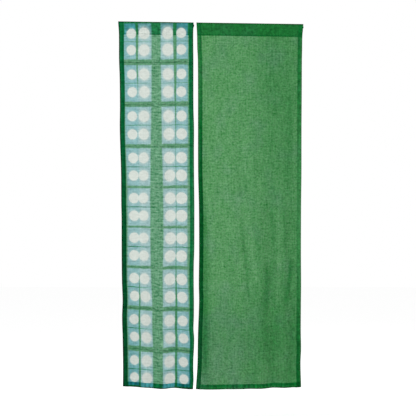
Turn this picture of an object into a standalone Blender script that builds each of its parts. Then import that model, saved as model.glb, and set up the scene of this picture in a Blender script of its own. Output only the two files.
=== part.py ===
"""A two-panel noren, a doorway curtain, as it hangs.

The left panel is narrow and patterned, and the right panel is wide and plain green. Each is one width of
cloth with a turned hem down its sides and along its foot. Its top is turned down to the back and sewn, which
leaves a rod pocket that is open at both ends. The origin is on the top edge, with +X to the right, -Y to the
front and +Z up. Sizes and tables are in millimetres, and MM turns them into metres where a point is placed.
"""

import math
from collections import namedtuple

import bmesh
import bpy

MM = 0.001

# Cloth
CLOTH = 1.2           # thickness of the single layer
HEM_EXTRA = 1.2       # what the turned layers of a hem add behind it
HEM_STEP = 1.5        # the width over which a hem's extra thickness ends
SEWING_GAP = 0.3      # between a panel and its heading

# Whole curtain
DROP = 1700.0         # top fold to foot
TOP_SLOPE = -0.0148   # the top edge falls to the right

# Heading, the turned-down top that makes the rod pocket
HEADING = 61.0        # top fold to the lower edge of the heading
POCKET_RADIUS = 10.0  # of the round top of the pocket, outside
SEAM = 9.0            # sewn strip below the pocket
SEAM_THICK = 2.8      # its front layer and the turned edge behind it
POCKET_FLOOR = 0.5    # height of the pocket's lowest point above the seam
ARC_STEPS = 12        # flat faces over the round top
WALL_STEPS = 3        # and down each wall of the pocket
CORNER_OUT = 4.0      # how far the back layer's corner sticks out at the right end
CORNER_DEPTH = 14.0   # how far that corner lies below the top fold
CORNER_SPAN = 6.0     # and how far it reaches up and down

# Grid of the solids
COLUMN = 20.0         # between the columns of a panel
ROW = 34.0            # between its rows
STATION = 32.0        # between the sections of a heading
SETTLE = 160.0        # below its heading, the cloth goes from straight to folded over this length
FOLD_GROWS = 0.3      # share of a fold's length over which it reaches its full height
CURL_REACH = 0.12     # how far in a side's curl reaches, as a share of the panel's width
SMOOTH_ANGLE = 40.0   # degrees, above which an edge is shaded sharp

# The sides of a panel at some depths below the top fold
Edge = namedtuple("Edge", "depth left right")
# Its foot at some places across
Foot = namedtuple("Foot", "x depth")
# A soft fold: where it runs across at its first and last depth, its half width, and how far forward it stands
Fold = namedtuple("Fold", "x_first x_last first last width height")
# The half waves of a side that turns to the front (+) or the back (-), by depth
Curl = namedtuple("Curl", "first last left right")
Panel = namedtuple("Panel", "name hem_left hem_right hem_foot edges foot folds curls colour")

LEFT = Panel(
    name="left",
    hem_left=23.0,
    hem_right=20.6,
    hem_foot=23.0,
    edges=(
        Edge(0, -429, -80.5),
        Edge(60, -426, -82),
        Edge(180, -425.5, -81),
        Edge(265, -422.6, -81),
        Edge(400, -421.5, -80.5),
        Edge(490, -422.5, -78),
        Edge(590, -420, -78.5),
        Edge(700, -416.5, -78),
        Edge(850, -415, -76.5),
        Edge(915, -413.6, -76.5),
        Edge(1050, -413.2, -77),
        Edge(1130, -412.8, -79.4),
        Edge(1210, -411.8, -79.6),
        Edge(1300, -409, -78.5),
        Edge(1370, -411.5, -79),
        Edge(1420, -411, -80.5),
        Edge(1465, -409.5, -77.3),
        Edge(1510, -408.8, -78.3),
        Edge(1565, -408, -81),
        Edge(1610, -407.6, -81.2),
        Edge(1660, -407.6, -80.2),
        Edge(1700, -408, -83),
    ),
    foot=(
        Foot(-410, 1687),
        Foot(-360, 1690),
        Foot(-290, 1694),
        Foot(-225, 1699),
        Foot(-170, 1695.5),
        Foot(-110, 1699),
        Foot(-80, 1700),
    ),
    folds=(
        Fold(-372, -362, 250, 1700, 26, -4.5),
        Fold(-318, -306, 200, 1600, 24, 4.0),
        Fold(-262, -232, 300, 1700, 30, 5.0),
        Fold(-196, -172, 250, 1700, 26, -5.5),
        Fold(-140, -122, 200, 1500, 24, 4.0),
    ),
    curls=(
        Curl(150, 800, -5, 4),
        Curl(800, 1300, 4, -5),
        Curl(1300, 1760, -7, 6),
    ),
    colour=(0.25, 0.5, 0.42),
)

RIGHT = Panel(
    name="right",
    hem_left=20.8,
    hem_right=20.8,
    hem_foot=22.3,
    edges=(
        Edge(0, -66.5, 428.5),
        Edge(60, -63.5, 424.5),
        Edge(120, -62.5, 423.5),
        Edge(170, -60, 422.5),
        Edge(330, -59, 422),
        Edge(500, -59, 421),
        Edge(700, -58.5, 420.5),
        Edge(850, -55, 418.5),
        Edge(1070, -54, 417.5),
        Edge(1215, -55.5, 418.5),
        Edge(1290, -54, 418),
        Edge(1440, -59, 417.5),
        Edge(1520, -60.5, 419),
        Edge(1590, -62, 416.5),
        Edge(1700, -69, 419),
    ),
    foot=(
        Foot(-70, 1699),
        Foot(-20, 1702),
        Foot(60, 1700.5),
        Foot(200, 1699.5),
        Foot(310, 1694),
        Foot(390, 1693),
        Foot(420, 1690),
    ),
    folds=(
        Fold(20, 40, 120, 1700, 46, 4.5),
        Fold(84, 104, 150, 1700, 20, 3.0),
        Fold(132, 180, 380, 1400, 22, -6.0),
        Fold(188, 238, 400, 1300, 22, 5.0),
        Fold(272, 286, 650, 1700, 24, -9.0),
        Fold(330, 338, 600, 1560, 20, 6.0),
        Fold(372, 384, 700, 1600, 18, -6.0),
    ),
    curls=(
        Curl(150, 760, 4, -4),
        Curl(760, 1300, -6, 5),
        Curl(1300, 1760, 7, -5),
    ),
    colour=(0.08, 0.34, 0.13),
)


def soft_step(value):
    """Goes smoothly from 0 to 1 as value does."""
    t = min(max(value, 0.0), 1.0)
    return t * t * (3.0 - 2.0 * t)


def read_table(rows, key, name, at):
    """The named column of a table at a place between its rows, on a smooth curve through them."""
    places = [getattr(row, key) for row in rows]
    values = [getattr(row, name) for row in rows]
    at = min(max(at, places[0]), places[-1])
    i = max(n for n in range(len(rows) - 1) if places[n] <= at)

    def slope(n):
        before = max(n - 1, 0)
        after = min(n + 1, len(rows) - 1)
        return (values[after] - values[before]) / (places[after] - places[before])

    span = places[i + 1] - places[i]
    t = (at - places[i]) / span
    rise = values[i + 1] - values[i]
    ease = t * t * (3.0 - 2.0 * t)
    bend_in = t * (1.0 - t) * (1.0 - t) * slope(i) * span
    bend_out = t * t * (t - 1.0) * slope(i + 1) * span
    return values[i] + rise * ease + bend_in + bend_out


def side_to_side(panel, share, depth):
    """The x of a point that lies at this share of the panel's width."""
    left = read_table(panel.edges, "depth", "left", depth)
    right = read_table(panel.edges, "depth", "right", depth)
    return left + share * (right - left)


def fold_depth(panel, x, depth):
    """How far the cloth's middle stands behind the curtain's plane, by its folds and its curling sides."""
    forward = 0.0
    for fold in panel.folds:
        t = (depth - fold.first) / (fold.last - fold.first)
        middle = fold.x_first + soft_step(t) * (fold.x_last - fold.x_first)
        grown = soft_step(t / FOLD_GROWS)
        across = (x - middle) / fold.width
        forward += fold.height * grown * math.exp(-across * across)
    for curl in panel.curls:
        t = (depth - curl.first) / (curl.last - curl.first)
        if 0.0 < t < 1.0:
            swing = math.sin(math.pi * t)
            reach = CURL_REACH * (side_to_side(panel, 1, depth) - side_to_side(panel, 0, depth))
            from_left = (x - side_to_side(panel, 0, depth)) / reach
            from_right = (side_to_side(panel, 1, depth) - x) / reach
            forward += swing * curl.left * math.exp(-from_left * from_left)
            forward += swing * curl.right * math.exp(-from_right * from_right)
    return -forward * soft_step((depth - HEADING) / SETTLE)


def hem_share(panel, share, above_foot):
    """1 on the turned hems and 0 on the single cloth between them."""
    width = panel.edges[0].right - panel.edges[0].left
    from_left = share * width
    from_right = (1.0 - share) * width
    in_left = from_left < panel.hem_left - HEM_STEP / 2
    in_right = from_right < panel.hem_right - HEM_STEP / 2
    in_foot = above_foot < panel.hem_foot - HEM_STEP / 2
    return 1.0 if in_left or in_right or in_foot else 0.0


def hang_panel(panel, share, down, behind):
    """Places a point of the flat panel. Down goes from 0 at the heading to 1 at the foot, and behind is 0 for
    the front skin and 1 for the back one."""
    depth = HEADING + down * (DROP - HEADING)
    x = side_to_side(panel, share, depth)
    top = -TOP_SLOPE * x + HEADING + SEWING_GAP
    foot = read_table(panel.foot, "x", "depth", x)
    below = top + down * (foot - top)
    thick = CLOTH + HEM_EXTRA * hem_share(panel, share, foot - below)
    y = fold_depth(panel, x, depth) - CLOTH / 2 + behind * thick
    return x * MM, y * MM, -below * MM


def hang_heading(panel, share, y, below):
    """Places a point of the heading's section, y behind the pocket's middle and below the top fold."""
    x = side_to_side(panel, share, below)
    if share == 1 and y > 0:
        off = (below - CORNER_DEPTH) / CORNER_SPAN
        x += CORNER_OUT * math.exp(-off * off)
    return x * MM, y * MM, (TOP_SLOPE * x - below) * MM


def shares_across(width, first_hem, last_hem, step):
    """Shares of the width for the columns of a panel, close together where a hem ends."""
    start = first_hem + HEM_STEP / 2
    end = width - last_hem - HEM_STEP / 2
    count = max(2, round((end - start) / step))
    body = [start + n * (end - start) / count for n in range(count + 1)]
    places = [0.0, first_hem - HEM_STEP] + body + [width - last_hem + HEM_STEP, width]
    return [place / width for place in places]


def panel_mesh(panel):
    """A flat slab of cloth, extruded from a grid, with every point then hung in its place."""
    width = panel.edges[0].right - panel.edges[0].left
    across = shares_across(width, panel.hem_left, panel.hem_right, COLUMN)
    length = DROP - HEADING
    count = round((length - panel.hem_foot) / ROW)
    down = [n * (length - panel.hem_foot - HEM_STEP / 2) / count for n in range(count + 1)]
    down += [length - panel.hem_foot + HEM_STEP, length]
    mesh = bmesh.new()
    grid = [[mesh.verts.new((share, 0, row / length)) for share in across] for row in down]
    for upper, lower in zip(grid, grid[1:]):
        for corners in zip(upper, upper[1:], lower[1:], lower):
            mesh.faces.new(corners)
    made = bmesh.ops.extrude_face_region(mesh, geom=mesh.faces[:])["geom"]
    for item in made:
        if isinstance(item, bmesh.types.BMVert):
            item.co.y = 1
    for vert in mesh.verts:
        share, behind, row = vert.co
        vert.co = hang_panel(panel, share, row, behind)
    return mesh


def wall_line(radius, front, foot, side):
    """One wall of the pocket, from its foot up to the round top, with the angle at which they meet."""
    centre = -POCKET_RADIUS
    away = math.hypot(front, foot - centre)
    lean = math.atan2(foot - centre, front)
    angle = lean - side * math.acos(radius / away)
    touch = (radius * math.cos(angle), centre + radius * math.sin(angle))
    points = []
    for n in range(WALL_STEPS + 1):
        t = n / (WALL_STEPS + 1)
        points.append((front + t * (touch[0] - front), foot + t * (touch[1] - foot)))
    return points, angle


def pocket_loop(radius, front, back, foot):
    """The pocket's section: up the back wall, over the round top and down the front wall."""
    back_wall, first = wall_line(radius, back, foot, -1)
    front_wall, last = wall_line(radius, front, foot, 1)
    last += 2 * math.pi
    arc = []
    for n in range(ARC_STEPS + 1):
        angle = first + n * (last - first) / ARC_STEPS
        arc.append((radius * math.cos(angle), radius * math.sin(angle) - POCKET_RADIUS))
    return back_wall + arc + front_wall[::-1]


def heading_mesh(panel):
    """The rod pocket: an outer and an inner skin swept across the panel, closed by a rim at each end."""
    front = -CLOTH / 2
    back = front + SEAM_THICK
    seam_top = SEAM - HEADING
    outer = pocket_loop(POCKET_RADIUS, front, back, seam_top) + [(front, -HEADING), (back, -HEADING)]
    inner_foot = seam_top + POCKET_FLOOR
    inner = pocket_loop(POCKET_RADIUS - CLOTH, front + CLOTH, back - CLOTH, inner_foot)
    inner += [inner[-1], inner[0]]
    width = panel.edges[0].right - panel.edges[0].left
    count = round(width / STATION)
    mesh = bmesh.new()
    rings = []
    for n in range(count + 1):
        share = n / count
        skins = []
        for loop in (outer, inner[:-2]):
            skins.append([mesh.verts.new(hang_heading(panel, share, y, -z)) for y, z in loop])
        rings.append(skins)
    for here, there in zip(rings, rings[1:]):
        for a, b in zip(here, there):
            for n in range(len(a)):
                mesh.faces.new((a[n - 1], a[n], b[n], b[n - 1]))
    for skins in (rings[0], rings[-1]):
        rim_face(mesh, skins)
    return mesh


def rim_face(mesh, skins):
    """Closes one end of the heading between its outer and inner skin, and over the seam below the pocket."""
    outer, inner = skins
    for n in range(len(inner) - 1):
        mesh.faces.new((outer[n], outer[n + 1], inner[n + 1], inner[n]))
    front_top, front_foot, back_foot = outer[-3:]
    back_top = outer[0]
    mesh.faces.new((front_top, front_foot, back_foot, back_top, inner[0], inner[-1]))


def cloth_material(name, colour):
    """Matte dyed cloth."""
    material = bpy.data.materials.new(name)
    material.use_nodes = True
    shader = material.node_tree.nodes["Principled BSDF"]
    shader.inputs["Base Color"].default_value = (*colour, 1)
    shader.inputs["Roughness"].default_value = 0.85
    shader.inputs["Metallic"].default_value = 0.0
    return material


def add_object(name, mesh, colour):
    """Turns the mesh into a named object with its own cloth."""
    bmesh.ops.recalc_face_normals(mesh, faces=mesh.faces)
    data = bpy.data.meshes.new(name)
    mesh.to_mesh(data)
    mesh.free()
    data.shade_smooth()
    data.set_sharp_from_angle(angle=math.radians(SMOOTH_ANGLE))
    data.materials.append(cloth_material(name + "_cloth", colour))
    bpy.context.scene.collection.objects.link(bpy.data.objects.new(name, data))


def main():
    for old in list(bpy.data.objects):
        bpy.data.objects.remove(old)
    for panel in (LEFT, RIGHT):
        add_object(panel.name + "_heading", heading_mesh(panel), panel.colour)
        add_object(panel.name + "_panel", panel_mesh(panel), panel.colour)


main()
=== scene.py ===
"""A two-panel noren, a doorway curtain, as it hangs.

Each panel is one sheet of sheer cloth: turned hems down its sides and along its foot, and a
turned-down top that makes the rod pocket. The left sheet has a clamp-dyed pattern of pale dots on
blue between green bands, and the right sheet is plain green. Sizes and tables are in millimetres,
and MM turns them into metres where a point is placed.
"""

import math
from collections import namedtuple

import bpy
import numpy as np
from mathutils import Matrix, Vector, noise


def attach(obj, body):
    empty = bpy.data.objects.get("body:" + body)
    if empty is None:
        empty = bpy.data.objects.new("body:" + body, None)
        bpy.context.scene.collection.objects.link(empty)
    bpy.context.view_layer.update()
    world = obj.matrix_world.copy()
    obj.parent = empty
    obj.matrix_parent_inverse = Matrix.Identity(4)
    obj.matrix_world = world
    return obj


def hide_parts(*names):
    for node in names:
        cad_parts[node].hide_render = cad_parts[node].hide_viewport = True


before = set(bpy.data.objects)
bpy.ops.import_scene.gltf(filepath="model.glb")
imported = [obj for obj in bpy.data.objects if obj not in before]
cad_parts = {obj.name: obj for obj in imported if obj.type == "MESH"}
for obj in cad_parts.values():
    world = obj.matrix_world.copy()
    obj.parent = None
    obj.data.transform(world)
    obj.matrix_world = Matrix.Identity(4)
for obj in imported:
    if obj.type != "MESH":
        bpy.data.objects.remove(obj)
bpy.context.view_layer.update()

MM = 0.001

# Whole curtain, as in the solids
DROP = 1700.0  # top fold to foot
TOP_SLOPE = -0.0148  # the top edge falls to the right
HEADING = 61.0  # top fold to the lower edge of the heading
SEAM = 9.0  # sewn strip below the pocket
SETTLE = 160.0  # below its heading, the cloth goes from straight to folded over this length
FOLD_GROWS = 0.3  # share of a fold's length over which it grows from nothing
CREASE_GROWS = 0.25  # the same for a crease, which also ends so
CURL_REACH = 0.12  # share of the panel's width that a curling side takes

# The sheet inside the solids' thickness
FRONT = -0.5  # where the front layer hangs, from the middle of the solid's cloth
POCKET_RADIUS = 9.6  # of the round top of the pocket
POCKET_OUTSIDE = 10.0
CORNER_OUT = 3.6  # how far the back layer's corner sticks out at the right end
CORNER_DEPTH = 14.0
CORNER_SPAN = 6.0
CORNER_REACH = 14.0  # how far along the cloth that corner begins

# Turned layers
LAYER_GAP = 0.35  # between two layers of a side hem
STACK_THIN = (0.4, 0.8)  # inner and back layer of a foot hem or heading, behind the front one
STACK_THICK = (0.9, 2.5)  # the same where a side hem is turned in with it
STACK_EASE = 12.0  # the length over which one becomes the other
TURNED_IN = 0.55  # share of a hem's width that its turned-in raw edge covers
EDGE_STEP = 0.6  # the front layer darkens over this width at a hem's inner edge
FOLD_SHADE_WIDTH = 4.0  # how far in from its outer fold a turned edge is darkened by painted shade
TOP_FOLD_SHADE = 0.65  # how much darker the painted shade along the top fold makes it
# width of the painted shade along the top fold
TOP_FOLD_SHADE_WIDTH = 6.5
SEAM_SHADOW_IN = 5.0  # a painted shadow runs this far from the inner edge of a left hem, along its sewn line
SEAM_SHADOW_WIDTH = 3.0
SEAM_SHADOW_DARK = 0.22
UNDYED_STACK = 0.955  # painted brightness of undyed cloth that lies in several layers
MARKS = 0.34  # how uneven turned layers are in brightness
FOOT_MARKS = 0.75  # and how much more so a foot hem is, in short lumps along it
HEM_LAYERS = 1.15  # what a turned layer adds to the layers at a point
RAW_LAYERS = 0.85  # what the raw edge turned in under it adds
FOLD_LAYERS = 0.6  # and what its outer fold adds

# How much denser than one flat layer the cloth looks, with painted shade and light from its folds and
# painted shade towards the right side and the foot
SHEET_TONE = 0.07
FOLD_SHADE_TONE = -0.012  # painted light for each millimetre that a fold stands forward, painted shade where it stands back
# painted shade towards the foot, and on the right panel towards its right side
LEFT_FOOT_SHADE_TONE = 0.10
RIGHT_FOOT_SHADE_TONE = 0.25
RIGHT_SIDE_SHADE_TONE = 0.28
TONE_COMES = 0.25  # share of a band's length over which it comes, and over which it goes
TONE_GOES = 0.2

# Grid of the sheets
COLUMN = 4.0
ROW = 4.0
TURN_STEPS = 4  # faces round a turned edge
HALF_TURN = [math.pi * n / TURN_STEPS for n in range(TURN_STEPS + 1)]
ARC_STEPS = 14  # faces over the pocket's round top
WALL_STEPS = 11  # faces down each wall of the pocket

# Thread
STITCH = 2.7
STITCH_PITCH = 3.6
STITCH_IN = 3.5  # from a hem's inner edge
THREAD = 0.42
THREAD_PROUD = 0.3  # share of the thread that its middle lies off the cloth

Edge = namedtuple("Edge", "depth left right")
Foot = namedtuple("Foot", "x depth")
Fold = namedtuple("Fold", "x_first x_last first last width height")
Curl = namedtuple("Curl", "first last left right")
# A band of painted shade (+) or painted light (-) along a fold, shown as cloth denser or thinner than one
# flat layer
Tone = namedtuple("Tone", "x_first x_last first last width amount")
# How brightly a side hem's layers are lit from the front, and how much light comes through them
# from behind: 0 for none, 1 for as much as layers lying close let through, and 2 for as much as a
# single layer does
Hem = namedtuple("Hem", "depth left left_behind right right_behind")
Panel = namedtuple(
    "Panel",
    "name seed hem_left hem_right hem_foot heading_shade heading_behind foot_shade foot_behind"
    " foot_fold fold_left fold_right edges foot folds curls creases tones hems",
)


def table(kind, *rows):
    """A table with rows of this kind."""
    return [kind(*row) for row in rows]


LEFT = Panel(
    name="left",
    seed=3.0,
    hem_left=23.0,
    hem_right=20.6,
    hem_foot=23.0,
    heading_shade=1.02,
    heading_behind=0.62,
    foot_shade=0.81,
    foot_behind=0.28,
    # how dark the painted shade is along the foot's fold and the side hems' outer folds
    foot_fold=0.9,
    fold_left=0.85,
    fold_right=0.5,
    edges=table(
        Edge,
        (0, -429, -80.5), (60, -426, -82), (180, -425.5, -81), (265, -422.6, -81),
        (400, -421.5, -80.5), (490, -422.5, -78), (590, -420, -78.5), (700, -416.5, -78),
        (850, -415, -76.5), (915, -413.6, -76.5), (1050, -413.2, -77), (1130, -412.8, -79.4),
        (1210, -411.8, -79.6), (1300, -409, -78.5), (1370, -411.5, -79), (1420, -411, -80.5),
        (1465, -409.5, -77.3), (1510, -408.8, -78.3), (1565, -408, -81), (1610, -407.6, -81.2),
        (1660, -407.6, -80.2), (1700, -408, -83),
    ),
    foot=table(
        Foot,
        (-410, 1687), (-360, 1690), (-290, 1694), (-225, 1699), (-170, 1695.5), (-110, 1699),
        (-80, 1700),
    ),
    folds=table(
        Fold,
        (-372, -362, 250, 1700, 26, -4.5), (-318, -306, 200, 1600, 24, 4.0),
        (-262, -232, 300, 1700, 30, 5.0), (-196, -172, 250, 1700, 26, -5.5),
        (-140, -122, 200, 1500, 24, 4.0),
    ),
    curls=table(
        Curl,
        (150, 800, -5, 4), (800, 1300, 4, -5), (1300, 1760, -7, 6),
    ),
    creases=table(
        Fold,
        (-350, -338, 420, 1180, 9, -0.9), (-288, -270, 700, 1500, 8, 0.8),
        (-214, -204, 350, 1100, 8, -0.8), (-110, -100, 600, 1400, 7, 0.7),
    ),
    # bands of painted shade (+) and painted light (-) along the folds
    tones=table(
        Tone,
        (-250, -246, 60, 1700, 60, 0.05), (-366, -360, 900, 1700, 18, 0.10),
        (-186, -172, 900, 1700, 16, 0.10),
    ),
    hems=table(
        Hem,
        (0, 0.88, 0.36, 0.84, 0.34), (300, 0.82, 0.32, 0.86, 0.6), (870, 0.63, 0.26, 0.92, 1.02),
        (1430, 0.48, 0.28, 0.94, 0.7), (1700, 0.54, 0.28, 0.76, 0.3),
    ),
)

RIGHT = Panel(
    name="right",
    seed=11.0,
    hem_left=20.8,
    hem_right=20.8,
    hem_foot=22.3,
    heading_shade=0.98,
    heading_behind=1.0,
    foot_shade=1.04,
    foot_behind=1.0,
    # how dark the painted shade is along the foot's fold and the side hems' outer folds
    foot_fold=0.6,
    fold_left=0.28,
    fold_right=0.25,
    edges=table(
        Edge,
        (0, -66.5, 428.5), (60, -63.5, 424.5), (120, -62.5, 423.5), (170, -60, 422.5),
        (330, -59, 422), (500, -59, 421), (700, -58.5, 420.5), (850, -55, 418.5),
        (1070, -54, 417.5), (1215, -55.5, 418.5), (1290, -54, 418), (1440, -59, 417.5),
        (1520, -60.5, 419), (1590, -62, 416.5), (1700, -69, 419),
    ),
    foot=table(
        Foot,
        (-70, 1699), (-20, 1702), (60, 1700.5), (200, 1699.5), (310, 1694), (390, 1693),
        (420, 1690),
    ),
    folds=table(
        Fold,
        (20, 40, 120, 1700, 46, 4.5), (84, 104, 150, 1700, 20, 3.0),
        (132, 180, 380, 1400, 22, -6.0), (188, 238, 400, 1300, 22, 5.0),
        (272, 286, 650, 1700, 24, -9.0), (330, 338, 600, 1560, 20, 6.0),
        (372, 384, 700, 1600, 18, -6.0),
    ),
    curls=table(
        Curl,
        (150, 760, 4, -4), (760, 1300, -6, 5), (1300, 1760, 7, -5),
    ),
    creases=table(
        Fold,
        (149, 205, 400, 1200, 7, 1.1), (62, 70, 500, 1350, 9, -0.8), (232, 250, 900, 1560, 8, -1.2),
        (302, 308, 760, 1500, 8, 0.9), (-12, -4, 700, 1500, 9, -0.8),
        (352, 356, 900, 1420, 6, -1.0),
    ),
    # bands of painted shade (+) and painted light (-) along the folds
    tones=table(
        Tone,
        (-28, -26, 740, 1740, 19, 0.55), (20, 50, 250, 1050, 75, -0.17),
        (103, 112, 420, 660, 8, 0.14), (150, 160, 470, 740, 12, -0.14),
        (364, 358, 240, 860, 19, 0.19), (390, 386, 380, 880, 8, -0.12),
        (150, 188, 800, 1010, 11, -0.30), (188, 208, 950, 1240, 12, -0.28),
        (142, 178, 860, 1330, 7, 0.34), (213, 226, 930, 1150, 8, 0.24),
        (280, 286, 790, 1050, 8, 0.24), (311, 316, 780, 1180, 10, -0.24),
        (340, 346, 800, 1100, 7, 0.24), (250, 240, 1060, 1660, 35, 0.18),
        (266, 256, 1080, 1360, 15, 0.22), (374, 350, 1085, 1325, 12, 0.42),
        (312, 308, 1060, 1330, 12, -0.14), (376, 366, 1330, 1700, 26, 0.06),
        (305, 300, -150, 480, 80, 0.12), (205, 205, 380, 1330, 11, 0.14),
        (275, 276, 620, 1580, 13, -0.17), (-29, -28, 300, 1050, 9, 0.20),
        (25, 30, 400, 880, 42, -0.11), (341, 337, 1080, 1450, 10, 0.16),
        (90, 92, 1050, 1360, 14, 0.10), (350, 350, 1540, 1850, 40, 0.12),
        (205, 205, 1500, 1850, 14, 0.12),
    ),
    hems=table(
        Hem,
        (0, 1.08, 1.05, 1.04, 1.05), (300, 1.08, 1.10, 1.10, 1.10), (560, 0.92, 0.9, 1.12, 1.22),
        (870, 0.72, 0.3, 1.14, 1.30), (1200, 0.70, 0.3, 1.10, 1.20), (1430, 0.70, 0.3, 0.93, 1.06),
        (1700, 0.78, 0.4, 0.84, 1.0),
    ),
)


def soft_step(value):
    """Goes smoothly from 0 to 1 as value does."""
    t = np.clip(value, 0.0, 1.0)
    return t * t * (3.0 - 2.0 * t)


def read_table(rows, key, name, at):
    """The named column of a table at places between its rows, on a smooth curve through them."""
    places = np.array([getattr(row, key) for row in rows], float)
    values = np.array([getattr(row, name) for row in rows], float)
    order = np.arange(len(rows))
    before = np.maximum(order - 1, 0)
    after = np.minimum(order + 1, len(rows) - 1)
    slopes = (values[after] - values[before]) / (places[after] - places[before])
    at = np.clip(at, places[0], places[-1])
    i = np.clip(np.searchsorted(places, at, side="right") - 1, 0, len(rows) - 2)
    span = places[i + 1] - places[i]
    t = (at - places[i]) / span
    rise = values[i + 1] - values[i]
    ease = t * t * (3.0 - 2.0 * t)
    bend_in = t * (1.0 - t) * (1.0 - t) * slopes[i] * span
    bend_out = t * t * (t - 1.0) * slopes[i + 1] * span
    return values[i] + rise * ease + bend_in + bend_out


def width_of(panel):
    """The width of the panel's top, by which the flat cloth is measured."""
    return panel.edges[0].right - panel.edges[0].left


def side_to_side(panel, share, depth):
    """The x of points that lie at this share of the panel's width."""
    left = read_table(panel.edges, "depth", "left", depth)
    right = read_table(panel.edges, "depth", "right", depth)
    return left + share * (right - left)


def along_fold(fold, x, depth):
    """How near points are to a fold's line, 1 on it, and how far down its length they lie."""
    t = (depth - fold.first) / (fold.last - fold.first)
    middle = fold.x_first + soft_step(t) * (fold.x_last - fold.x_first)
    across = (x - middle) / fold.width
    return np.exp(-across * across), t


def fold_depth(panel, x, depth):
    """How far the cloth stands behind the curtain's plane. The folds and the curling sides add up."""
    forward = np.zeros(np.broadcast(x, depth).shape)
    for fold in panel.folds:
        near, t = along_fold(fold, x, depth)
        forward = forward + fold.height * soft_step(t / FOLD_GROWS) * near
    for crease in panel.creases:
        near, t = along_fold(crease, x, depth)
        grown = soft_step(t / CREASE_GROWS) * soft_step((1.0 - t) / CREASE_GROWS)
        forward = forward + crease.height * grown * near
    left = side_to_side(panel, 0.0, depth)
    right = side_to_side(panel, 1.0, depth)
    reach = CURL_REACH * (right - left)
    for curl in panel.curls:
        t = np.clip((depth - curl.first) / (curl.last - curl.first), 0.0, 1.0)
        swing = np.sin(math.pi * t)
        forward = forward + swing * curl.left * np.exp(-(((x - left) / reach) ** 2))
        forward = forward + swing * curl.right * np.exp(-(((right - x) / reach) ** 2))
    return -forward * soft_step((depth - HEADING) / SETTLE)


def noise_at(across, depth, wide, high, seed):
    """Smooth noise from about -1 to 1, with lumps of this width and height."""
    flat = [
        noise.noise(Vector((a / wide, d / high, seed)))
        for a, d in zip(np.ravel(across).tolist(), np.ravel(depth).tolist())
    ]
    return np.array(flat).reshape(np.shape(across))


def wrinkles(panel, across, depth):
    """The small unevenness of hung cloth: long soft waves that run down it, and shallow dents."""
    waves = 0.75 * noise_at(across, depth, 24.0, 260.0, panel.seed)
    dents = 0.35 * noise_at(across, depth, 16.0, 26.0, panel.seed + 5.0)
    settled = 0.25 + 0.75 * soft_step((depth - HEADING) / SETTLE)
    return (waves + dents) * settled


def hang(panel, across, depth, above_foot, behind, up):
    """Points of the sheet below its heading. Across is flat cloth from the left side, and only the
    folds read depth. Behind and up shift a turned layer off the front one."""
    down = 1.0 - above_foot / (DROP - HEADING)
    x = side_to_side(panel, across / width_of(panel), depth)
    top = HEADING - TOP_SLOPE * x
    foot = read_table(panel.foot, "x", "depth", x)
    below = top + down * (foot - top)
    y = FRONT + fold_depth(panel, x, depth) + wrinkles(panel, across, depth) + behind
    return x, y, up - below


def hang_heading(panel, across, depth, y, z):
    """Points of the heading, whose section is y behind the pocket's middle and z above the top fold."""
    width = width_of(panel)
    x = side_to_side(panel, across / width, depth)
    off = (depth - CORNER_DEPTH) / CORNER_SPAN
    at_end = soft_step((across - width + CORNER_REACH) / CORNER_REACH)
    x = x + CORNER_OUT * np.exp(-off * off) * at_end * (y > 0.0)
    ripple = wrinkles(panel, across, np.minimum(depth, HEADING))
    return x, y + ripple, TOP_SLOPE * x + z


def hem_columns(width, outward):
    """One side hem from its raw edge inside, round its outer fold: flat places from that fold, and
    how far behind the front layer they lie."""
    raw = width * (1.0 - TURNED_IN)
    places = [raw, (raw + width) / 2, width - 1.0]
    behind = [LAYER_GAP] * 3
    for angle in HALF_TURN:
        places.append(width + LAYER_GAP / 2 * math.sin(angle))
        behind.append(1.5 * LAYER_GAP - LAYER_GAP / 2 * math.cos(angle))
    count = max(3, round(width / COLUMN))
    for n in range(1, count):
        places.append(width * (1.0 - n / count))
        behind.append(2 * LAYER_GAP)
    for angle in HALF_TURN[:-1]:
        places.append(-LAYER_GAP * math.sin(angle))
        behind.append(LAYER_GAP + LAYER_GAP * math.cos(angle))
    return np.array(places) * outward, np.array(behind)


def sheet_columns(panel):
    """The whole way across the sheet, hems and all: flat places from the left side, and how far
    behind the front layer they lie."""
    width = width_of(panel)
    left, left_behind = hem_columns(panel.hem_left, 1.0)
    right, right_behind = hem_columns(panel.hem_right, -1.0)
    half = EDGE_STEP / 2
    marks = [0.0, panel.hem_left - half, panel.hem_left + half]
    marks += [width - panel.hem_right - half, width - panel.hem_right + half, width]
    raw = [panel.hem_left * (1 - TURNED_IN), width - panel.hem_right * (1 - TURNED_IN)]
    marks = sorted(marks + [raw[0] - half, raw[0] + half, raw[1] - half, raw[1] + half])
    front = []
    for a, b in zip(marks, marks[1:]):
        count = max(1, round((b - a) / COLUMN))
        front += [a + (b - a) * n / count for n in range(count)]
    front = np.array(front + [width])
    across = np.concatenate([left, front, (width + right)[::-1]])
    behind = np.concatenate([left_behind, np.zeros(len(front)), right_behind[::-1]])
    return across, behind


def stack_at(panel, across):
    """How far behind the front layer a foot hem's inner and back layers lie, with room for a side
    hem in the corners."""
    width = width_of(panel)
    from_side = np.minimum(across - panel.hem_left, width - panel.hem_right - across)
    corner = 1.0 - soft_step(from_side / STACK_EASE)
    inner = STACK_THIN[0] + corner * (STACK_THICK[0] - STACK_THIN[0])
    back = STACK_THIN[1] + corner * (STACK_THICK[1] - STACK_THIN[1])
    return inner, back


# A row of the sheet below its heading: how far above the foot it lies, how much of the inner and
# back layers' offset it has behind and upwards, and which way the cloth's back faces there
Row = namedtuple("Row", "above inner back up_inner up_back face_y face_z")


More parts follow.
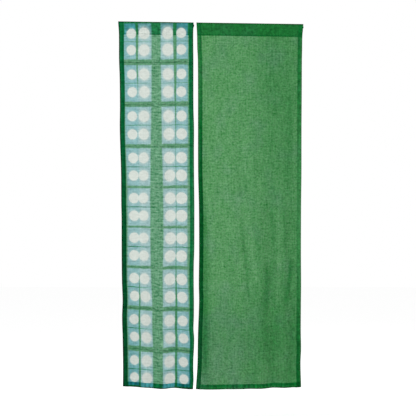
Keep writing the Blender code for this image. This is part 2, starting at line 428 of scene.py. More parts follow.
def body_rows(panel):
    """The way down the sheet from its heading to its foot, round the foot's fold and up the turned hem."""
    length = DROP - HEADING
    hem = panel.hem_foot
    raw = hem * (1.0 - TURNED_IN)
    half = EDGE_STEP / 2
    marks = [length, hem + half, hem - half, raw + half, raw - half, 0.0]
    rows = []
    for a, b in zip(marks, marks[1:]):
        count = max(1, round((a - b) / ROW))
        for n in range(count):
            rows.append(Row(a + (b - a) * n / count, 0, 0, 0, 0, 1, 0))
    for angle in HALF_TURN:
        c, s = math.cos(angle), math.sin(angle)
        rows.append(Row(0.0, 0, (1 - c) / 2, 0, -s / 2, c, s))
    count = max(3, round(hem / ROW))
    for n in range(1, count):
        rows.append(Row(hem * n / count, 0, 1, 0, 0, -1, 0))
    for angle in HALF_TURN:
        c, s = math.cos(angle), math.sin(angle)
        rows.append(Row(hem, (1 - c) / 2, (1 + c) / 2, -s / 2, s / 2, -c, -s))
    for above in (hem - 1.0, (raw + hem) / 2, raw):
        rows.append(Row(above, 1, 0, 0, 0, 1, 0))
    return rows


def wall_line(front, foot, side):
    """One wall of the pocket, from its foot up to where it meets the round top, and the angle at
    which it does."""
    centre = -POCKET_OUTSIDE
    away = math.hypot(front, foot - centre)
    lean = math.atan2(foot - centre, front)
    angle = lean - side * math.acos(POCKET_RADIUS / away)
    touch = (POCKET_RADIUS * math.cos(angle), centre + POCKET_RADIUS * math.sin(angle))
    points = []
    for n in range(WALL_STEPS):
        t = n / WALL_STEPS
        points.append((front + t * (touch[0] - front), foot + t * (touch[1] - foot)))
    return points, angle


def heading_section(inner, back):
    """The heading's section at one place across: down the turned-in edge, up the back wall, over
    and down the front. It stops one step above the heading's lower edge, where the panel's own rows
    begin."""
    points = [(FRONT + inner, -z) for z in (HEADING - SEAM, HEADING - SEAM / 2, HEADING - 1.5)]
    reach = (back - inner) / 2
    for angle in HALF_TURN:
        y = FRONT + (inner + back) / 2 - reach * math.cos(angle)
        points.append((y, -HEADING + 0.8 - reach * math.sin(angle)))
    for z in (HEADING - 3.0, HEADING - SEAM / 2):
        points.append((FRONT + back, -z))
    back_wall, first = wall_line(FRONT + back, SEAM - HEADING, -1)
    front_wall, last = wall_line(FRONT, SEAM - HEADING, 1)
    last += 2 * math.pi
    points += back_wall
    for n in range(ARC_STEPS + 1):
        angle = first + n * (last - first) / ARC_STEPS
        points.append((POCKET_RADIUS * math.cos(angle), POCKET_RADIUS * math.sin(angle) - POCKET_OUTSIDE))
    points += front_wall[::-1]
    points += [(FRONT, -z) for z in (HEADING - SEAM / 2, HEADING - 2.0)]
    return np.array(points)


def heading_grid(panel, across, behind):
    """All points of the heading, and where they lie on the flat cloth: across, and below the top
    fold."""
    inner, back = stack_at(panel, across)
    sections = np.stack([heading_section(i, b) for i, b in zip(inner, back)], axis=1)
    tangent = np.gradient(sections, axis=0)
    tangent /= np.linalg.norm(tangent, axis=2, keepdims=True)
    y = sections[:, :, 0] - tangent[:, :, 1] * behind
    z = sections[:, :, 1] + tangent[:, :, 0] * behind
    flat = np.broadcast_to(across, y.shape)
    depth = np.maximum(-sections[:, :, 1], 0.0)
    points = np.stack(hang_heading(panel, flat, depth, y, z), axis=2)
    return points, flat, depth


def body_grid(panel, across, behind):
    """All points below the heading, and where they lie on the flat cloth: across, below the top
    fold and above the foot."""
    inner, back = stack_at(panel, across)
    rows = Row(*np.array(body_rows(panel), float).T[:, :, None])
    off = rows.inner * inner + rows.back * back + rows.face_y * behind
    up = rows.up_inner * inner + rows.up_back * back + rows.face_z * behind
    flat = np.broadcast_to(across, off.shape)
    above = np.broadcast_to(rows.above, off.shape)
    depth = DROP - above
    points = np.stack(hang(panel, flat, depth, above, off, up), axis=2)
    return points, flat, depth, above


def hem_layers(place, hem):
    """Extra layers at places measured from a hem's outer fold: about one more near that fold, and
    two more over the raw edge."""
    raw = hem * (1.0 - TURNED_IN)
    layers = HEM_LAYERS * (place < hem) + RAW_LAYERS * ((place > raw) & (place < hem))
    return layers + FOLD_LAYERS * (place < 1.0)


def tone_with_fold_shade(panel, x, depth):
    """How much denser than one flat layer the cloth looks, with painted shade and light from its folds and
    shade bands.
    """
    tone = np.full(x.shape, SHEET_TONE)
    for fold in panel.folds:
        near, t = along_fold(fold, x, depth)
        tone = tone + FOLD_SHADE_TONE * fold.height * soft_step(t / FOLD_GROWS) * near
    for band in panel.tones:
        near, t = along_fold(band, x, depth)
        grown = soft_step(t / TONE_COMES) * soft_step((1.0 - t) / TONE_GOES)
        tone = tone + band.amount * grown * near
    return tone


def painted_side_shade(panel, x, depth):
    """Painted shade that grows slowly over the whole curtain towards its right side and its foot."""
    if panel.name == "left":
        return LEFT_FOOT_SHADE_TONE * soft_step((depth - 900.0) / 700.0)
    below_top = 0.85 + 0.15 * soft_step((depth - 110.0) / 200.0)
    above_foot = 1.0 - 0.4 * soft_step((depth - 1450.0) / 150.0)
    side = RIGHT_SIDE_SHADE_TONE * soft_step((x - 150.0) / 150.0) * below_top * above_foot
    return side + RIGHT_FOOT_SHADE_TONE * soft_step((depth - 1180.0) / 300.0)


def side_hems(panel, across, depth, name):
    """A column of the panel's table of side hems, for the left or the right hem, and 1 between
    them."""
    width = width_of(panel)
    left = read_table(panel.hems, "depth", "left" + name, depth)
    right = read_table(panel.hems, "depth", "right" + name, depth)
    in_left = across < panel.hem_left
    in_right = across > width - panel.hem_right
    return np.where(in_left, left, np.where(in_right, right, 1.0))


def fold_shade(place, dark, width=FOLD_SHADE_WIDTH):
    """The painted shade along the outer fold of a turned edge, which is this much darker."""
    return 1.0 - dark * np.exp(-((np.maximum(place, 0.0) / width) ** 2))


def seam_shadow(place, hem):
    """The painted shadow along the line where a hem is sewn down."""
    return 1.0 - SEAM_SHADOW_DARK * np.exp(-(((hem - SEAM_SHADOW_IN - place) / SEAM_SHADOW_WIDTH) ** 2)) * (place < hem)


def side_shade(panel, flat, depth):
    """The painted brightness of both side hems: how they are lit, the painted shade along their outer
    folds, the painted shadow along the sewn line of the left one, and their unevenness."""
    from_right = width_of(panel) - flat
    shade = side_hems(panel, flat, depth, "") * seam_shadow(flat, panel.hem_left)
    # painted shade along both side hems' outer folds
    shade = shade * fold_shade(flat, panel.fold_left) * fold_shade(from_right, panel.fold_right)
    return shade * (1.0 + MARKS * noise_at(flat, depth, 12.0, 20.0, panel.seed + 9.0))


def heading_state(panel, flat, depth):
    """The layers of the heading's points, how brightly they are lit, and how much light comes from
    behind."""
    width = width_of(panel)
    sides = hem_layers(flat, panel.hem_left) + hem_layers(width - flat, panel.hem_right)
    strip = (depth > HEADING - SEAM + 0.5).astype(float)
    layers = 1.0 + 0.8 * strip + 0.8 * np.minimum(sides, 1.0)
    shade = side_shade(panel, flat, depth) * panel.heading_shade
    # painted shade along the top fold and along the heading's lower edge
    shade = shade * fold_shade(depth, TOP_FOLD_SHADE, TOP_FOLD_SHADE_WIDTH) * fold_shade(HEADING - depth, 0.2)
    return layers, shade, np.full(layers.shape, panel.heading_behind)


def body_state(panel, flat, x, depth, above):
    """The same for the points below the heading."""
    width = width_of(panel)
    # painted shade and light from folds and bands, and painted shade towards the right side and the foot
    tone = tone_with_fold_shade(panel, x, depth) + painted_side_shade(panel, x, depth)
    foot = hem_layers(above, panel.hem_foot)
    layers = hem_layers(flat, panel.hem_left) + hem_layers(width - flat, panel.hem_right) + foot
    layers = np.where(layers > 0.0, layers, tone)
    behind = np.where(foot > 0.0, panel.foot_behind, side_hems(panel, flat, depth, "_behind"))
    in_side = (flat < panel.hem_left) | (flat > width - panel.hem_right)
    uneven = 1.0 + FOOT_MARKS * noise_at(flat, above, 9.0, 60.0, panel.seed + 12.0)
    # painted shade along the foot's fold
    foot_shade = np.where(in_side, 1.0, panel.foot_shade) * fold_shade(above, panel.foot_fold) * uneven
    shade = side_shade(panel, flat, depth) * np.where(foot > 0.0, foot_shade, 1.0)
    return layers, shade, behind


def sheet_mesh(panel):
    """The sheet's points, heading and hems and all, with their places on the flat cloth, the state
    of their layers for the material, and how many lie in a row."""
    across, behind = sheet_columns(panel)
    top, top_flat, top_depth = heading_grid(panel, across, behind)
    body, flat, depth, above = body_grid(panel, across, behind)
    top_state = heading_state(panel, top_flat, top_depth)
    state = body_state(panel, flat, body[:, :, 0], depth, above)
    points = np.concatenate([top, body]).reshape(-1, 3) * MM
    flat = np.concatenate([top_flat, flat]).ravel() * MM
    depth = np.concatenate([top_depth, depth]).ravel() * MM
    state = [np.concatenate(pair).ravel() for pair in zip(top_state, state)]
    return points, flat, depth, np.stack(state, axis=1), len(across)


def add_object(name, data):
    """An object of the scene, made from this data."""
    made = bpy.data.objects.new(name, data)
    bpy.context.scene.collection.objects.link(made)
    return made


def add_mesh(name, points, faces):
    """A smooth mesh object made of these points and faces."""
    data = bpy.data.meshes.new(name)
    data.from_pydata(points.tolist(), [], faces)
    data.shade_smooth()
    return add_object(name, data)


def add_sheet(panel, material):
    """One panel's cloth."""
    points, flat, depth, state, across = sheet_mesh(panel)
    down = len(points) // across
    faces = []
    for row in range(down - 1):
        for column in range(across - 1):
            a = row * across + column
            faces.append((a, a + across, a + across + 1, a + 1))
    made = add_mesh(panel.name + "_cloth", points, faces)
    data = made.data
    corner = np.empty(len(data.loops), dtype=np.int32)
    data.loops.foreach_get("vertex_index", corner)
    places = np.stack([flat[corner], depth[corner]], axis=1).astype(np.float32)
    data.uv_layers.new(name="cloth").data.foreach_set("uv", places.ravel())
    values = data.attributes.new("state", "FLOAT_VECTOR", "POINT").data
    values.foreach_set("vector", state.astype(np.float32).ravel())
    data.materials.append(material)
    return made


def stitch_faces(first):
    """The faces of one stitch: a thread of four sides with pointed ends."""
    faces = []
    for n in range(4):
        a, b = first + 1 + n, first + 1 + (n + 1) % 4
        faces += [(first, b, a), (a, b, b + 4, a + 4), (a + 4, b + 4, first + 9)]
    return faces


def add_stitches(panel, material):
    """Rows of thread along the hems' inner edges and the heading's lower edge, on the front and the back."""
    width = width_of(panel)
    length = DROP - HEADING
    lines = []
    for across in (panel.hem_left - STITCH_IN, width - panel.hem_right + STITCH_IN):
        for n in range(int((length - 8.0) / STITCH_PITCH)):
            lines.append((across, length - 4.0 - (n + 0.5) * STITCH_PITCH, 0.0, -STITCH / 2))
    for above in (panel.hem_foot - STITCH_IN, length + SEAM - STITCH_IN):
        for n in range(int((width - 8.0) / STITCH_PITCH)):
            lines.append((4.0 + (n + 0.5) * STITCH_PITCH, above, STITCH / 2, 0.0))
    lines = np.array(lines)
    across, above, half_x, half_z = lines.T
    turned = (above > length) | (above < panel.hem_foot)
    in_side = (across < panel.hem_left) | (across > width - panel.hem_right)
    side_back = np.where(in_side, 2 * LAYER_GAP, 0.0)
    stacked = np.where(turned, stack_at(panel, across)[1], side_back)
    points = []
    faces = []
    for side, shift in ((-1.0, 0.0), (1.0, stacked)):
        off = shift + side * THREAD * THREAD_PROUD
        below = DROP - np.minimum(above, length)
        middle = np.stack(hang(panel, across, below, above, off, 0.0), axis=1)
        for centre, run_x, run_z in zip(middle, half_x, half_z):
            run = np.array((run_x, 0.0, run_z))
            over = np.array((0.0, THREAD / 2, 0.0))
            aside = np.array((-run_z, 0.0, run_x)) / (STITCH / 2) * THREAD / 2
            ring = (over, aside, -over, -aside)
            faces += stitch_faces(len(points))
            points.append(centre - run)
            points += [centre - 0.7 * run + r for r in ring]
            points += [centre + 0.7 * run + r for r in ring]
            points.append(centre + run)
    made = add_mesh(panel.name + "_stitches", np.array(points) * MM, faces)
    made.data.materials.append(material)
    return made


class Field:
    """A number at each point of a surface. Sums of fields become the nodes of its material."""

    def __init__(self, tree, socket):
        self.tree = tree
        self.socket = socket

    def join(self, operation, *values):
        """The result of a sum on these values."""
        node = self.tree.nodes.new("ShaderNodeMath")
        node.operation = operation
        for place, value in zip(node.inputs, values):
            feed(self.tree, place, value)
        return Field(self.tree, node.outputs[0])

    def __add__(self, other):
        return self.join("ADD", self, other)

    def __sub__(self, other):
        return self.join("SUBTRACT", self, other)

    def __rsub__(self, other):
        return self.join("SUBTRACT", other, self)

    def __mul__(self, other):
        return self.join("MULTIPLY", self, other)

    def __truediv__(self, other):
        return self.join("DIVIDE", self, other)

    def __abs__(self):
        return self.join("ABSOLUTE", self)

    def hill(self, middle, spread):
        """1 at the middle and falling softly to 0 over the spread on each side."""
        off = (self - middle) / spread
        return self.join("EXPONENT", off * off * -1.0)

    def over(self, low, high):
        """0 below low and 1 above high, with a soft step between them."""
        node = self.tree.nodes.new("ShaderNodeMapRange")
        node.interpolation_type = "SMOOTHSTEP"
        feed(self.tree, node.inputs["Value"], self)
        feed(self.tree, node.inputs["From Min"], low)
        feed(self.tree, node.inputs["From Max"], high)
        return Field(self.tree, node.outputs["Result"])

    def under(self, low, high):
        """1 below low and 0 above high."""
        return 1.0 - self.over(low, high)

    def clipped(self):
        """The same, kept between 0 and 1."""
        node = self.join("ADD", self, 0.0)
        node.socket.node.use_clamp = True
        return node

    def most(self, other):
        """The larger of the two."""
        return self.join("MAXIMUM", self, other)

    def least(self, other):
        """The smaller of the two."""
        return self.join("MINIMUM", self, other)


def feed(tree, place, value):
    """Gives an input its number or colour, or joins it to a field or an output."""
    if isinstance(value, Field):
        value = value.socket
    if isinstance(value, bpy.types.NodeSocket):
        tree.links.new(value, place)
    elif place.type == "RGBA":
        place.default_value = (*value, 1.0)
    else:
        place.default_value = value


def new_material(name):
    """A material with no nodes but its output."""
    material = bpy.data.materials.new(name)
    material.use_nodes = True
    tree = material.node_tree
    tree.nodes.clear()
    tree.nodes.new("ShaderNodeOutputMaterial")
    return material, tree


def show(tree, shader):
    """Gives a material this shader."""
    tree.links.new(shader, tree.nodes["Material Output"].inputs["Surface"])


def read_state(tree):
    """The layers, the painted light and shade on them and the light from behind that the mesh gives for a
    point.
    """
    node = tree.nodes.new("ShaderNodeAttribute")
    node.attribute_name = "state"
    parts = tree.nodes.new("ShaderNodeSeparateXYZ")
    tree.links.new(node.outputs["Vector"], parts.inputs[0])
    return [Field(tree, output) for output in parts.outputs]


def flat_places(tree):
    """How far across and down the flat cloth a point lies, in millimetres."""
    node = tree.nodes.new("ShaderNodeUVMap")
    node.uv_map = "cloth"
    parts = tree.nodes.new("ShaderNodeSeparateXYZ")
    tree.links.new(node.outputs["UV"], parts.inputs[0])
    return Field(tree, parts.outputs["X"]) / MM, Field(tree, parts.outputs["Y"]) / MM


def cloth_noise(at, wide, high, seed, detail=2.0):
    """Noise over the flat cloth, mostly from -1 to 1, with lumps of this width and height."""
    across, down = at
    tree = across.tree
    place = tree.nodes.new("ShaderNodeCombineXYZ")
    feed(tree, place.inputs["X"], across / wide)
    feed(tree, place.inputs["Y"], down / high)
    place.inputs["Z"].default_value = seed
    node = tree.nodes.new("ShaderNodeTexNoise")
    node.inputs["Scale"].default_value = 1.0
    node.inputs["Detail"].default_value = detail
    tree.links.new(place.outputs[0], node.inputs["Vector"])
    return (Field(tree, node.outputs["Fac"]) - 0.5) * NOISE_GAIN


def blend_colour(share, first, second):
    """The first colour where share is 0, and the second where it is 1."""
    tree = share.tree
    node = tree.nodes.new("ShaderNodeMix")
    node.data_type = "RGBA"
    feed(tree, node.inputs["Factor"], share)
    feed(tree, node.inputs[6], first)
    feed(tree, node.inputs[7], second)
    return node.outputs[2]


def blend_dyes(share, first, second):
    """The same for both colours of two dyes."""
    return [blend_colour(share, a, b) for a, b in zip(first, second)]


def colour_sum(tree, operation, *values):
    """A sum of colours, channel by channel."""
    node = tree.nodes.new("ShaderNodeVectorMath")
    node.operation = operation
    for place, value in zip(node.inputs, values):
        feed(tree, place, value)
    return node.outputs[0]


def scale_colour(colour, amount):
    """A colour made brighter or darker by a field."""
    node = amount.tree.nodes.new("ShaderNodeVectorMath")
    node.operation = "SCALE"
    feed(amount.tree, node.inputs[0], colour)
    feed(amount.tree, node.inputs["Scale"], amount)
    return node.outputs[0]


def add_shader(tree, kind, colour, normal=None):
    """A shader of this kind and colour."""
    node = tree.nodes.new(kind)
    feed(tree, node.inputs["Color"], colour)
    if normal is not None:
        tree.links.new(normal, node.inputs["Normal"])
    return node.outputs[0]


def blend_shader(tree, share, first, second):
    """The first shader where share is 0, and the second where it is 1."""
    node = tree.nodes.new("ShaderNodeMixShader")
    feed(tree, node.inputs[0], share)
    tree.links.new(first, node.inputs[1])
    tree.links.new(second, node.inputs[2])
    return node.outputs[0]


# A dye on this cloth: the light that one layer sends back, and the light that it lets through its threads
Dye = namedtuple("Dye", "back through")
PLAIN_GREEN = Dye((0.002, 0.078, 0.016), (0.014, 0.100, 0.011))
GREY_GREEN = Dye((0.006, 0.076, 0.024), (0.024, 0.088, 0.032))
GREEN = Dye((0.001, 0.096, 0.028), (0.050, 0.108, 0.066))
BLUE = Dye((0.003, 0.120, 0.134), (0.162, 0.206, 0.202))
PALE = Dye((0.313, 0.338, 0.314), (0.097, 0.112, 0.098))
OPEN = 0.08  # light that passes between the threads
SENT_BACK = 0.6  # share of the shader that sends light back, beside what it lets through
THREAD_COLOUR = {"left": (0.01, 0.10, 0.045), "right": (0.008, 0.10, 0.03)}
NOISE_GAIN = 3.0
# How much a unit more of yarn takes away from the light between threads, through them, back from
# them and in a stack
YARN_OPEN = 0.65
YARN_THROUGH = 0.30
YARN_BACK = 0.12
YARN_STACK = 0.30


def yarn_of(at, seed, weft):
    """Uneven yarn: how much more of it than usual lies at a place. Weft says how strong its streaks
    across are."""
    grain = cloth_noise(at, 8.5, 8.5, seed, 1.0)
    streaks = cloth_noise(at, 26.0, 8.0, seed + 1.0, 1.0)
    long_streaks = cloth_noise(at, 80.0, 9.0, seed + 2.0)
    warp = cloth_noise(at, 6.0, 90.0, seed + 3.0)
    patches = cloth_noise(at, 24.0, 40.0, seed + 4.0, 3.0)
    return grain + streaks * weft + long_streaks * (weft * 0.5) + warp * 0.55 + patches * 0.35


def threads_of(at, seed):
    """The density and the relief of single threads with their slubs, which only show from near."""
    warp = cloth_noise(at, 0.9, 26.0, seed + 5.0, 1.0)
    weft = cloth_noise(at, 26.0, 0.9, seed + 6.0, 1.0)
    slub = cloth_noise(at, 46.0, 2.0, seed + 7.0)
    return (warp + weft) * 0.5 + slub * 0.4, warp + weft + slub


def finish_cloth(material, tree, back, through, density, yarn, relief, undyed=None):
    """Sheer cloth of these two colours. Where layers lie on each other it shades into the colour of
    the stack, but not where the cloth is undyed."""
    layers, shade, behind = read_state(tree)
    bump = tree.nodes.new("ShaderNodeBump")
    bump.inputs["Strength"].default_value = 0.35
    bump.inputs["Distance"].default_value = 0.0003
    feed(tree, bump.inputs["Height"], relief)
    normal = bump.outputs[0]
    passed = colour_sum(tree, "ADD", through, (OPEN, OPEN, OPEN))
    one = colour_sum(tree, "ADD", back, passed)
    two = colour_sum(tree, "MULTIPLY_ADD", passed, one, back)
    three = colour_sum(tree, "MULTIPLY_ADD", passed, two, back)
    stack = blend_colour((layers - 1.0).clipped(), two, three)
    stack = blend_colour(behind.clipped(), back, stack)
    stack = blend_colour((behind - 1.0).clipped(), stack, one)
    if undyed is not None:
        stack = blend_colour(undyed, stack, one)
        shade = shade + (UNDYED_STACK - shade) * undyed
    # the stack's painted light and shade from the mesh, darker where there is more yarn
    stack = scale_colour(stack, (shade * (1.0 - yarn * YARN_STACK)).most(0.0))
    open_share = (OPEN - yarn * (OPEN * YARN_OPEN)).most(0.0)
    threads = 1.0 - OPEN
    back = scale_colour(back, (1.0 - yarn * YARN_BACK) / (threads * SENT_BACK))
    thinned = (1.0 - yarn * YARN_THROUGH) / (threads * (1.0 - SENT_BACK))
    through = scale_colour(through, thinned.most(0.0))
    sent_back = add_shader(tree, "ShaderNodeBsdfDiffuse", back, normal)
    let_through = add_shader(tree, "ShaderNodeBsdfTranslucent", through, normal)
    woven = blend_shader(tree, 1.0 - SENT_BACK, sent_back, let_through)
    clear = add_shader(tree, "ShaderNodeBsdfTransparent", (1.0, 1.0, 1.0))
    single = blend_shader(tree, open_share, woven, clear)
    stacked = add_shader(tree, "ShaderNodeBsdfDiffuse", stack, normal)
    shown = blend_shader(tree, (layers + density).clipped(), single, stacked)
    show(tree, shown)
    return material


def plain_cloth():
    """The right sheet: plain green, with faint cloudy dye that is greyer at the left and at the foot."""
    material, tree = new_material("plain_green_cloth")
    at = flat_places(tree)
    across, down = at
    fine, relief = threads_of(at, 20.0)
    yarn = yarn_of(at, 21.0, 0.55) + fine * 0.5
    cloudy = cloth_noise(at, 80.0, 110.0, 31.0, 3.0)
    at_foot = down.over(1100.0, 1550.0) * across.under(160.0, 330.0)
    grey = (cloudy * 0.8 + at_foot * 0.6 + down.under(60.0, 520.0) * 0.15).clipped()
    back, through = blend_dyes(grey, PLAIN_GREEN, GREY_GREEN)
    on_right = across.over(180.0, 330.0)
    # painted shade and light of fine creases, in long streaks down the cloth, more on the right
    painted_crease_shade = cloth_noise(at, 14.0, 120.0, 33.0) * (on_right * 0.07 + 0.02)
    mottled = cloth_noise(at, 15.0, 26.0, 34.0) * (on_right * 0.06 + 0.03)
    clouds = cloth_noise(at, 110.0, 160.0, 32.0) * 0.06
    density = clouds + painted_crease_shade + mottled + at_foot * 0.06
    return finish_cloth(material, tree, back, through, density, yarn, relief)


# The dyed pattern, by the flat cloth's middle line and the depth below the top fold
MIDDLE = 172.5  # from the left side
BLOCK = 190.6  # from one block of dots to the next
FIRST_BLOCK = 90.4  # depth of the first block's centre
BLOCK_DRIFT = 10.5  # the third and fourth blocks sit this much lower than an even repeat
DRIFT_AT = 2.9
DRIFT_SPAN = 1.75
LOW_DRIFT = 1.8  # and the seventh and eighth this much
LOW_DRIFT_AT = 6.8
LOW_DRIFT_SPAN = 1.0
SKEW_TOP = -0.0273  # the rows of dots climb to the right at the top, and sink at the foot
SKEW_CHANGE = 0.0315
HALF_HEIGHT = 925.0  # depth of the curtain's middle, where the dye differs most from its ends
HALF_SPAN = 430.0
DOT_ROW = 39.9  # from a block's centre to its rows of dots
DOT_ROW_WIDER = 2.2  # how much wider those rows lie at the curtain's middle
TOP_ROWS = 2.8  # and how much closer in the first block
BAND = 13.5  # half width of the bands between blocks
BAND_THINNER = 8.6  # by how much less at the curtain's middle
STRIPE = 21.8  # half width of the middle stripe
STRIPE_WIDER = 9.8  # by how much more at the curtain's middle
STRIPE_FOOT = 2.2  # and at its foot
STRIPE_AT = 1.2  # its own middle
STRIPE_MOVED = 4.7  # which lies this much further left at the curtain's middle
SIDE_LINE = 88.0  # thin line between inner and outer dots
INNER_OUTER = (78.0, 92.0)  # where the inner dots' blue goes over into the outer dots'
BLUE_EDGE = 149.5  # where the blue ends at each side
BLUE_RIGHT = 1.5  # how much further out on the right
BLUE_FOOT = 9.5  # and there at the foot
BLUE_TOP = 4.0  # how much less in the heading at the left
TURNED_UP = 1650.0  # the bands have no dark line below this depth
FOOT_HEM = 1677.0  # no dot and no paler blue lies in the foot's hem
FOOT_LINE = 1691.0  # its fold is green below the outer dots

# A column of dots: which side of the middle it is on, how far out, and its radius, with how much
# both change at the curtain's middle and foot, how soft its edge is, and its height by its width
DotColumn = namedtuple("DotColumn", "side out out_mid out_low radius radius_mid radius_low soft tall")
DOT_COLUMNS = table(
    DotColumn,
    (-1.0, 114.3, -2.4, 1.2, 22.2, 2.6, -0.7, 2.0, 1.00),
    (-1.0, 54.5, 12.6, -2.2, 24.6, -1.2, -0.3, 3.0, 1.05),
    (1.0, 56.5, 5.2, 2.4, 25.2, 0.9, 0.0, 3.0, 1.05),
    (1.0, 120.0, -5.4, 8.8, 22.6, 5.2, -0.9, 2.0, 1.00),
)

# Where a point lies in the pattern: down the cloth, to the right of the pattern's middle line, out
# from it, below its block's centre and below the band between two blocks. Then 1 at the curtain's
# middle height, at its foot, right of the line and left of it, and how far two noises move an edge.
Spot = namedtuple("Spot", "down right out t below_band mid low on_right on_left blot wander")


def block_places(depth):
    """How far below its block's centre a point lies, and how far below the band between blocks."""
    block = (depth - FIRST_BLOCK) / BLOCK
    low_drift = block.hill(LOW_DRIFT_AT, LOW_DRIFT_SPAN) * LOW_DRIFT
    drift = block.hill(DRIFT_AT, DRIFT_SPAN) * BLOCK_DRIFT + low_drift
    block = (depth - drift - FIRST_BLOCK) / BLOCK
    t = (block.join("FRACT", block + 0.5) - 0.5) * BLOCK
    return t, (block.join("FRACT", block) - 0.5) * BLOCK


def spot_of(at):
    """The point's place in the pattern, with the dye's wavering edges and the skew of its rows."""
    across, down = at
    edge = cloth_noise(at, 9.0, 9.0, 51.0) * 0.9
    right = across - MIDDLE + cloth_noise(at, 60.0, 90.0, 52.0, 1.0) * 1.2 + edge
    depth = down + cloth_noise(at, 80.0, 70.0, 53.0, 1.0) * 1.2 + edge
    depth = depth - (down.over(600.0, 1360.0) * SKEW_CHANGE + SKEW_TOP) * right
    t, below_band = block_places(depth)
    mid = depth.hill(HALF_HEIGHT, HALF_SPAN)
    low = depth.over(1100.0, 1700.0)
    on_right = right.over(-5.0, 5.0)
    blot = cloth_noise(at, 16.0, 5.0, 54.0)
    wander = cloth_noise(at, 50.0, 50.0, 55.0, 1.0)
    on_left = 1.0 - on_right
    return Spot(down, right, abs(right), t, below_band, mid, low, on_right, on_left, blot, wander)


def dot_shape(s, column, row):
    """1 inside this column's dots with a soft edge, and how far outside them a point is."""
    out = s.mid * column.out_mid + s.low * column.out_low + column.out
    x = s.right * column.side - out
    y = (abs(s.t) - row) / column.tall
    square = x * x + y * y
    radius = s.mid * column.radius_mid + s.low * column.radius_low + column.radius
    off = square.join("SQRT", square) - radius
    return off.under(-column.soft, column.soft), off


def dots_and_halo(s):
    """The pale dots, and the paler blue round them."""
    row = s.mid * DOT_ROW_WIDER - s.down.hill(60.0, 70.0) * TOP_ROWS + DOT_ROW
    shapes = [dot_shape(s, column, row) for column in DOT_COLUMNS]
    outer_left, inner_left, inner_right, outer_right = shapes
    dots = outer_left[0].most(inner_left[0]).most(inner_right[0]).most(outer_right[0])
    near_inner = inner_left[1].least(inner_right[1]).under(-2.0, 14.0)
    near_outer = outer_left[1].least(outer_right[1]).under(0.0, 9.0)
    halo = (near_inner * (0.42 - s.mid * 0.22)).most(near_outer * 0.20)
    return dots, halo + s.out.under(*INNER_OUTER) * 0.12 + s.mid * 0.10


def green_band(s):
    """The band between two blocks, and the dark line along it."""
    half = BAND - s.mid * (BAND_THINNER - s.on_right * 1.6)
    away = abs(s.below_band + s.wander * 1.5) + s.blot * 2.6
    line = (s.below_band + s.wander * 3.0 + s.blot * 2.4).hill(1.5, 2.2)
    line = line * s.down.under(TURNED_UP - 30.0, TURNED_UP)
    return away.under(half - 3.0, half + 3.0), line


def middle_stripe(s):
    """The green stripe down the middle."""
    half = s.mid * STRIPE_WIDER + s.low * STRIPE_FOOT + STRIPE
    away = abs(s.right - STRIPE_AT + s.mid * STRIPE_MOVED) + s.blot * 0.8
    return away.under(half - 4.0, half + 4.0)


def green_sides(s):
    """The green beyond the blue's edges."""
    fringe = s.mid * (s.on_right * 1.5 + 7.0) + s.low * s.on_left * 5.0
    edge = s.on_right * (s.low * BLUE_FOOT + BLUE_RIGHT) + BLUE_EDGE
    edge = edge - s.on_left * s.down.under(20.0, 95.0) * BLUE_TOP
    return s.out.over(edge - 2.0 - fringe * 1.4, edge + 2.0 - fringe * 0.4)


def side_lines(s):
    """The lines between inner and outer dots, widest in the upper and the lower blocks."""
    half_left = s.down.under(40.0, 420.0) * 6.2 + s.down.over(1080.0, 1400.0) * 4.3
    half_right = s.down.under(40.0, 560.0) * 7.0 + s.down.over(1050.0, 1400.0) * 4.4 + 1.2
    half = s.on_left * half_left + s.on_right * half_right
    away = abs(s.out - SIDE_LINE - s.on_right * 2.0)
    return away.under(half - 1.8, half + 1.8) * half.over(0.2, 1.8)


def cross_lines(s, stripe):
    """The line between a block's two rows of dots, strongest at the outer dots."""
    strength = (s.mid * 0.45 + s.low * 0.25 + 0.55 + s.wander * 0.3).clipped()
    line = abs(s.t + s.wander * 1.6).under(0.6, 3.0) * strength
    return line * (s.out.over(35.0, 100.0) * 0.4 + 0.6) * (1.0 - stripe * s.mid * 0.5)


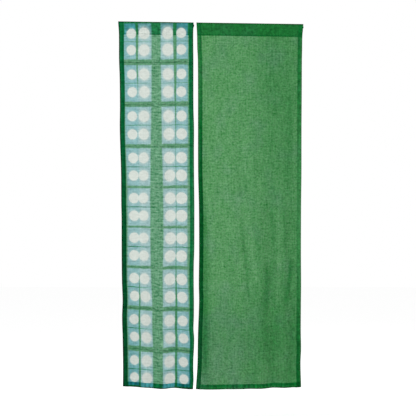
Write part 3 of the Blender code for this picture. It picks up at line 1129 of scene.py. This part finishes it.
def patterned_cloth():
    """The left sheet: pale dots in blocks of eight on blue, between green bands, with soft edges."""
    material, tree = new_material("clamp_dyed_cloth")
    at = flat_places(tree)
    down = at[1]
    s = spot_of(at)
    band, band_line = green_band(s)
    stripe = middle_stripe(s)
    cross_line = cross_lines(s, stripe)
    dots, halo = dots_and_halo(s)
    above_hem = down.under(FOOT_HEM - 1.0, FOOT_HEM + 1.0)
    inner_hem = (1.0 - above_hem) * s.out.under(*INNER_OUTER) * (1.0 - stripe)
    outer_hem = (1.0 - above_hem) * s.out.over(*INNER_OUTER)
    dots = dots * above_hem
    undotted = 1.0 - dots
    line = side_lines(s) * (1.0 - dots * 0.35)
    line_strength = (0.68 - s.mid * 0.62) * (1.0 - stripe * down.over(250.0, 420.0) * 0.5)

    green = band.most(stripe).most(green_sides(s)).most(cross_line)
    green = green.most(outer_hem * s.on_right * 0.25)
    green = green.most(outer_hem * down.over(FOOT_LINE - 2.0, FOOT_LINE + 2.0))
    dyed = blend_dyes(green, blend_dyes(halo * above_hem, BLUE, PALE), GREEN)
    # painted light on the pale dots at the curtain's middle height, where the lamps leave them dimmer, and
    # darker at the foot and at the top
    dot_painted_light = s.mid * 0.04 - s.low * 0.10 - down.under(30.0, 110.0) * 0.06 + 1.04
    dotted = blend_dyes(dots, dyed, [scale_colour(colour, dot_painted_light) for colour in PALE])
    back, through = blend_dyes(line, dotted, GREEN)
    # painted shadow along the bands' dark line, and painted shade over the bands, uneven in blots
    band_shadow = band_line * line_strength * 0.45 + band * (s.blot * 0.14 + 0.05)
    back = scale_colour(back, inner_hem * 0.55 + 1.0 - band_shadow)
    through = scale_colour(through, 1.0 - band_shadow)

    outer_blue = s.out.over(80.0, 100.0) * (s.low * 0.06 - s.mid * 0.14 + 0.15)
    outer_blue = outer_blue + s.out.over(122.0, 150.0) * 0.16
    density = outer_blue * (1.0 - green) * undotted + band_line * line_strength * 0.8
    density = density + band * (s.blot * (0.5 - s.mid * 0.3) - s.mid * 0.11 + 0.13)
    density = density + cross_line * undotted * (s.mid * 0.7 + s.low * 0.35 + 0.35)
    density = density + line * (s.mid * 0.35 + 0.22) + s.blot * stripe * 0.08
    at_foot = down.over(1540.0, 1690.0) * 0.26 + s.low * 0.10 + s.mid * 0.04
    density = density + at_foot * undotted
    fine, relief = threads_of(at, 40.0)
    yarn = yarn_of(at, 41.0, 1.35) * (stripe * 0.5 + 0.6) + fine * 0.5
    yarn = yarn * (1.0 - dots * 0.45)
    undyed = dots.most(inner_hem * 0.15)
    return finish_cloth(material, tree, back, through, density, yarn, relief, undyed)


def thread_material(panel):
    """Sewing thread of the cloth's own green, a little uneven."""
    material, tree = new_material(panel.name + "_thread")
    places = tree.nodes.new("ShaderNodeTexCoord")
    grain = tree.nodes.new("ShaderNodeTexNoise")
    grain.inputs["Scale"].default_value = 900.0
    tree.links.new(places.outputs["Object"], grain.inputs["Vector"])
    share = Field(tree, grain.outputs["Fac"])
    colour = THREAD_COLOUR[panel.name]
    lighter = tuple(1.6 * c + 0.01 for c in colour)
    shown = add_shader(tree, "ShaderNodeBsdfDiffuse", blend_colour(share, colour, lighter))
    show(tree, shown)
    return material


FLOOR_HEIGHT = -1.95  # in metres, as the next one
FLOOR_HALF = 9.0


def add_floor():
    """A plain pale floor below the curtain."""
    material, tree = new_material("pale_floor")
    shown = add_shader(tree, "ShaderNodeBsdfDiffuse", (0.98, 0.98, 0.98))
    show(tree, shown)
    corners = ((-1, -1), (1, -1), (1, 1), (-1, 1))
    points = np.array([(x * FLOOR_HALF, y * FLOOR_HALF, FLOOR_HEIGHT) for x, y in corners])
    floor = add_mesh("floor", points, [(0, 1, 2, 3)])
    floor.data.materials.append(material)


def add_area_light(name, place, target, size, power):
    """A soft square light that shines on a target."""
    data = bpy.data.lights.new(name, "AREA")
    data.shape = "SQUARE"
    data.size = size
    data.energy = power
    light = add_object(name, data)
    light.location = place
    light.rotation_euler = (Vector(target) - Vector(place)).to_track_quat("-Z", "Y").to_euler()


def add_light():
    """Even white light from all round, with a soft light from the upper left in front and one behind."""
    world = bpy.data.worlds.new("white_room")
    world.use_nodes = True
    background = world.node_tree.nodes["Background"]
    background.inputs["Color"].default_value = (1.0, 1.0, 1.0, 1.0)
    background.inputs["Strength"].default_value = 1.0
    bpy.context.scene.world = world
    add_area_light("front_light", (-1.9, -2.0, 0.5), (0.0, 0.0, -0.7), 1.2, 38.0)
    add_area_light("back_light", (-1.2, 2.4, 0.6), (0.0, 0.0, -0.6), 1.6, 20.0)
    bpy.context.scene.view_settings.view_transform = "Standard"


def add_camera():
    """The photograph's view: level, from the front, a little left of the curtain's middle."""
    data = bpy.data.cameras.new("camera")
    data.lens = 85.0
    data.sensor_width = 36.0
    camera = add_object("camera", data)
    camera.location = (-0.013, -4.557, -0.860)
    camera.rotation_euler = (math.radians(90.0), 0.0, 0.0)
    bpy.context.scene.camera = camera


def flat_size(panel):
    """The cut size of the cloth, in metres, with all that is turned in."""
    width = width_of(panel) + (1 + TURNED_IN) * (panel.hem_left + panel.hem_right)
    pocket = 2 * HEADING + SEAM + 12.0
    length = DROP - HEADING + pocket + (1 + TURNED_IN) * panel.hem_foot
    return width * MM, length * MM


def add_panel(panel, material):
    """One panel of cloth with its stitches, in place of its two solids."""
    cloth = add_sheet(panel, material)
    stitches = add_stitches(panel, thread_material(panel))
    for piece in (cloth, stitches):
        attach(piece, "root")
    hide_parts(panel.name + "_heading", panel.name + "_panel")
    flat_size(panel)


add_camera()
add_light()
add_floor()
add_panel(LEFT, patterned_cloth())
add_panel(RIGHT, plain_cloth())
